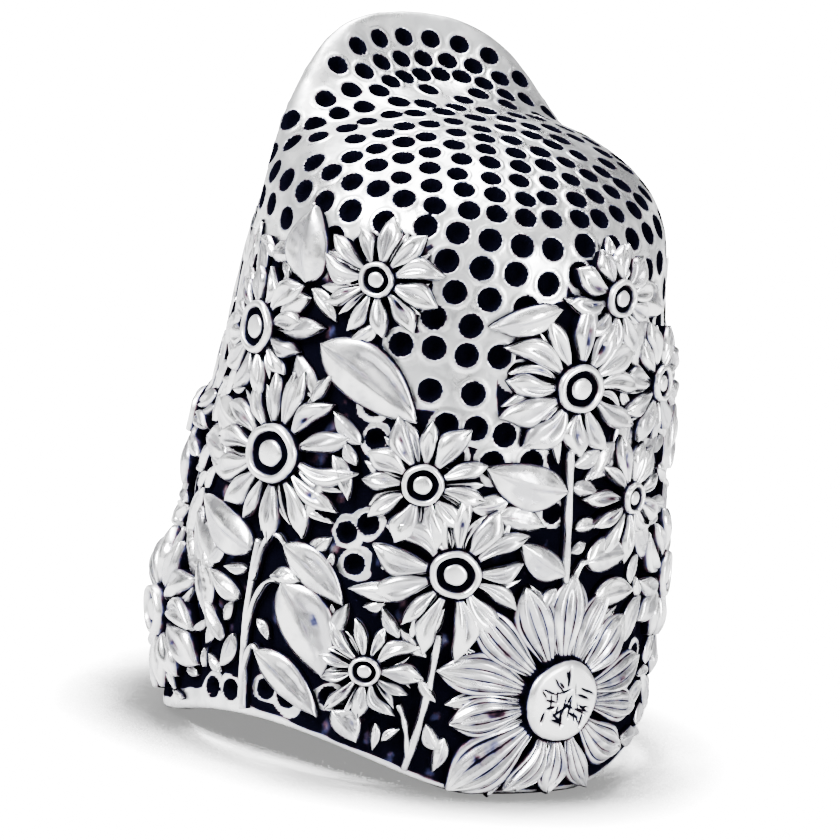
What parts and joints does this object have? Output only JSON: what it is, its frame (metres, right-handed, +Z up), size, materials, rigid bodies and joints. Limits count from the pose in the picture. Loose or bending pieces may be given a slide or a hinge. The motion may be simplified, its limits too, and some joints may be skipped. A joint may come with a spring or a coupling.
{
  "type": "thimble",
  "caption": "Silver sewing thimble with a dimpled, tilted crown rising into a lobe over the nail, a scalloped rim, and raised daisies, leaves and stems all round the wall.",
  "frame": {"origin": "middle of the mouth, on the plane that the rim stands on", "axes": "+Z up the finger to the crown, +Y the nail side with the lobe, -Y the finger-pad side"},
  "size_m": [0.0207, 0.0207, 0.0288],
  "materials": {
    "oxidised_silver": "silver, softly polished on the high metal, oxidised black in the dimples and recesses",
    "bright_silver": "bright cast silver, polished on top, oxidised black along the edges",
    "polished_silver": "bright polished silver with an oxidised groove"
  },
  "bodies": {
    "root": {"shell": "oxidised_silver", "upper_left_daisy_petals": "bright_silver", "upper_left_daisy_boss": "polished_silver", "left_daisy_petals": "bright_silver", "left_daisy_boss": "polished_silver", "left_shoulder_daisy_petals": "bright_silver", "left_shoulder_daisy_boss": "polished_silver", "upper_middle_daisy_petals": "bright_silver", "upper_middle_daisy_boss": "polished_silver", "middle_daisy_petals": "bright_silver", "middle_daisy_boss": "polished_silver", "upper_right_daisy_petals": "bright_silver", "upper_right_daisy_boss": "polished_silver", "right_shoulder_daisy_petals": "bright_silver", "right_shoulder_daisy_boss": "polished_silver", "low_left_daisy_petals": "bright_silver", "low_left_daisy_boss": "polished_silver", "rim_sunflower_petals": "bright_silver", "rim_sunflower_boss": "polished_silver", "right_daisy_petals": "bright_silver", "right_daisy_boss": "polished_silver", "right_side_daisy_petals": "bright_silver", "right_side_daisy_boss": "polished_silver", "left_edge_daisy_petals": "bright_silver", "left_edge_daisy_boss": "polished_silver", "left_rim_daisy_petals": "bright_silver", "left_rim_daisy_boss": "polished_silver", "right_rim_daisy_petals": "bright_silver", "right_rim_daisy_boss": "polished_silver", "right_back_daisy_petals": "bright_silver", "right_back_daisy_boss": "polished_silver", "right_low_back_daisy_petals": "bright_silver", "right_low_back_daisy_boss": "polished_silver", "back_daisy_petals": "bright_silver", "back_daisy_boss": "polished_silver", "back_sunflower_petals": "bright_silver", "back_sunflower_boss": "polished_silver", "left_back_daisy_petals": "bright_silver", "left_back_daisy_boss": "polished_silver", "left_low_back_daisy_petals": "bright_silver", "left_low_back_daisy_boss": "polished_silver", "left_shoulder_leaf": "bright_silver", "broad_upper_leaf": "bright_silver", "middle_leaf": "bright_silver", "arched_leaf": "bright_silver", "broad_low_leaf": "bright_silver", "drooping_leaf": "bright_silver", "left_edge_leaf": "bright_silver", "stem_leaf": "bright_silver", "low_bud": "bright_silver", "right_bud": "bright_silver", "right_rim_leaf": "bright_silver", "right_back_leaf": "bright_silver", "back_leaf": "bright_silver", "left_back_leaf": "bright_silver", "left_stem": "bright_silver", "middle_stem": "bright_silver", "right_stem": "bright_silver", "right_back_stem": "bright_silver", "back_stem": "bright_silver"}
  },
  "joints": []
}
